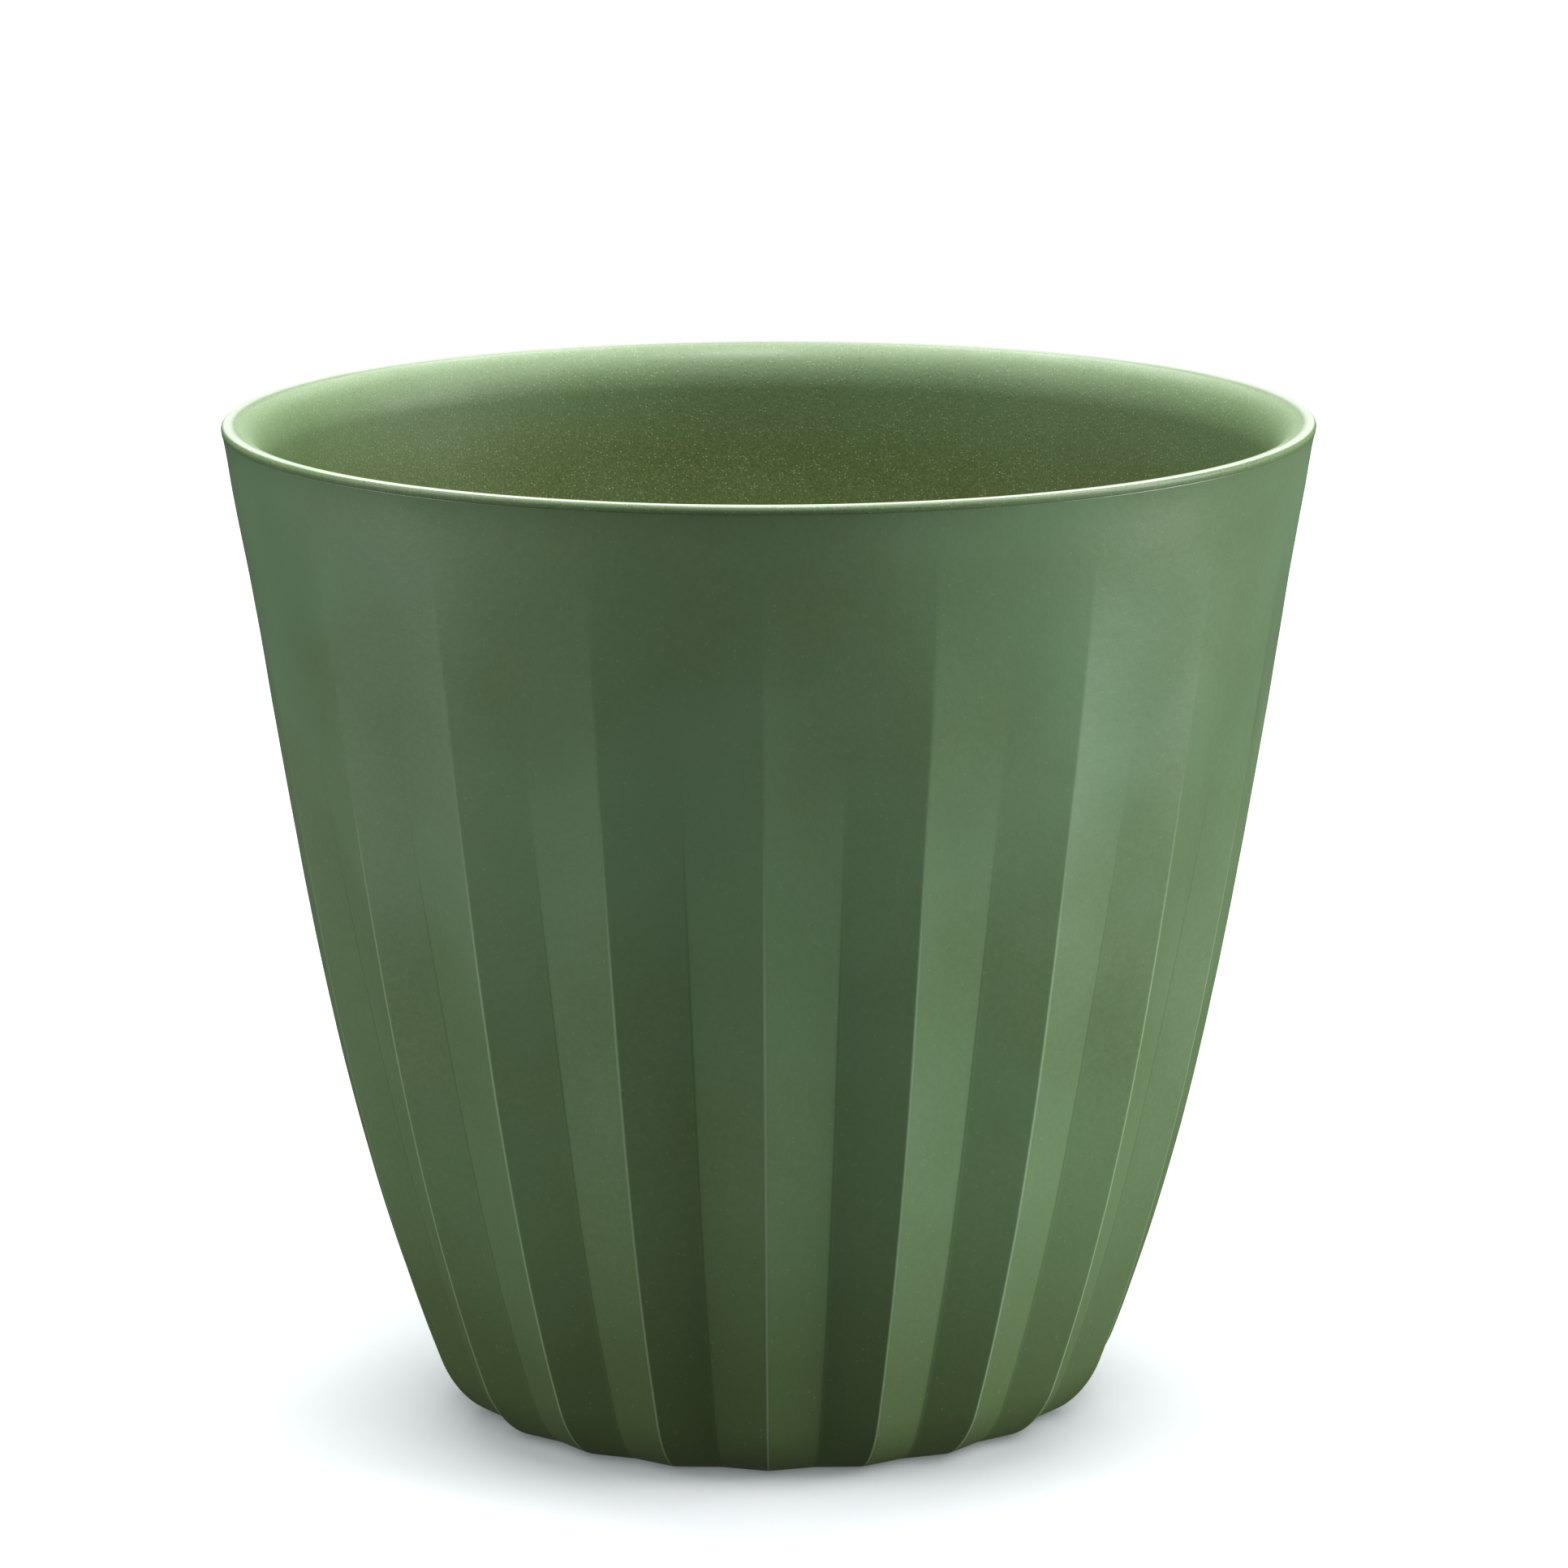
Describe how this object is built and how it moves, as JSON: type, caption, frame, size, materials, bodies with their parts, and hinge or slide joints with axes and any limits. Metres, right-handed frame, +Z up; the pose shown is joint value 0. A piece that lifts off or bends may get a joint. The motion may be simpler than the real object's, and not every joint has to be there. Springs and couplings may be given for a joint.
{
  "type": "fluted planter pot",
  "caption": "Round double-walled plastic pot, wider at the mouth, with a rolled lip, pleats that fade in below the rim, and a pull-out drain plug.",
  "frame": {"origin": "centre of the foot ring, on the surface that the pot stands on", "axes": "+Z up along the pot's own axis; one of the pleats' ridges faces within a degree of -Y"},
  "size_m": [0.4, 0.3998, 0.3688],
  "materials": {
    "shell_plastic": "sage green moulded plastic with a satin sheen",
    "liner_plastic": "sage green moulded plastic with a fine matt grain",
    "plug_plastic": "dark green moulded plastic, smooth",
    "seal_rubber": "black rubber, matt"
  },
  "bodies": {
    "pot": {"fluted_shell": "shell_plastic", "inner_liner": "liner_plastic"},
    "plug": {"drain_plug": "plug_plastic", "plug_seal": "seal_rubber"}
  },
  "joints": [
    {"name": "plug_pull", "type": "slide", "parent": "pot", "child": "plug", "axis": [0, 0, 1], "range_m": [0, 0.4]}
  ]
}
